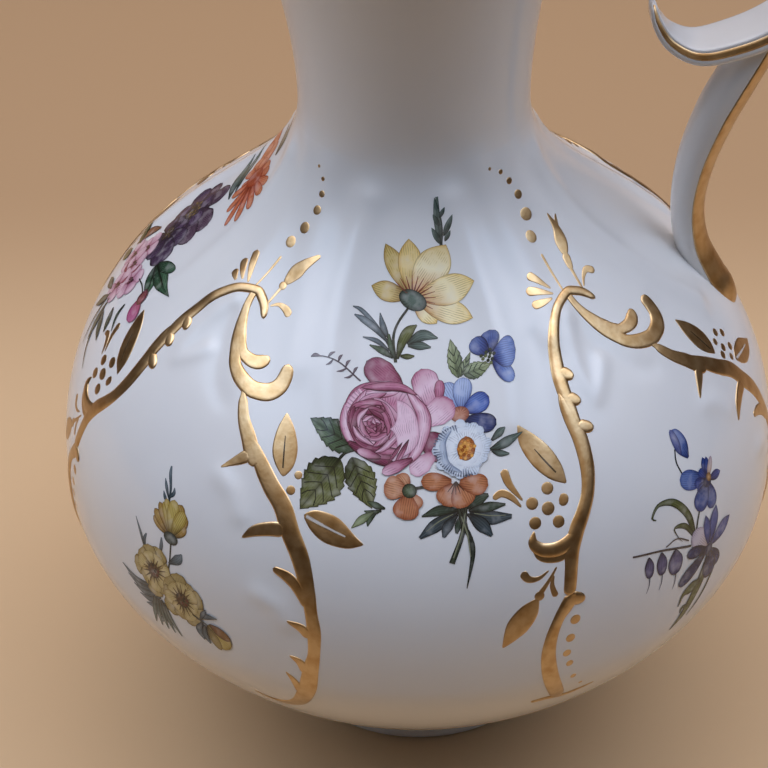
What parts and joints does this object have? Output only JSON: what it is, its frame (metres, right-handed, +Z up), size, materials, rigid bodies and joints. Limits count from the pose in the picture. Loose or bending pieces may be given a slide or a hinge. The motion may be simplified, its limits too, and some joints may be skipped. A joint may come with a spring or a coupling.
{
  "type": "porcelain jug",
  "caption": "Round-bellied white porcelain jug with a narrow neck, pouring beak, gilt double-scroll handle and raised gilt scroll borders around flower panels.",
  "frame": {"origin": "centre of the overall box at the level the foot ring stands on; the body's axis lies a little towards -X of it", "axes": "+Z up along the body's axis, +X towards the handle, -X towards the beak, -Y the side the picture shows"},
  "size_m": [0.1754, 0.16, 0.2385],
  "materials": {
    "porcelain": "gloss",
    "gilding": "gloss"
  },
  "bodies": {
    "root": {"foot_ring": "porcelain", "belly_bowl": "porcelain", "shoulder": "porcelain", "pouring_lip": "porcelain", "handle_upper_scroll": "porcelain", "handle_lower_scroll": "porcelain", "gilt_lip_band": "gilding", "gilt_upper_face": "gilding", "gilt_lower_face": "gilding", "crescent_scroll_front": "gilding", "crescent_scroll_handle_side": "gilding", "crescent_scroll_back": "gilding", "crescent_scroll_beak_side": "gilding", "knotted_scroll_front": "gilding", "knotted_scroll_handle_side": "gilding", "knotted_scroll_back": "gilding", "knotted_scroll_beak_side": "gilding"}
  },
  "joints": []
}
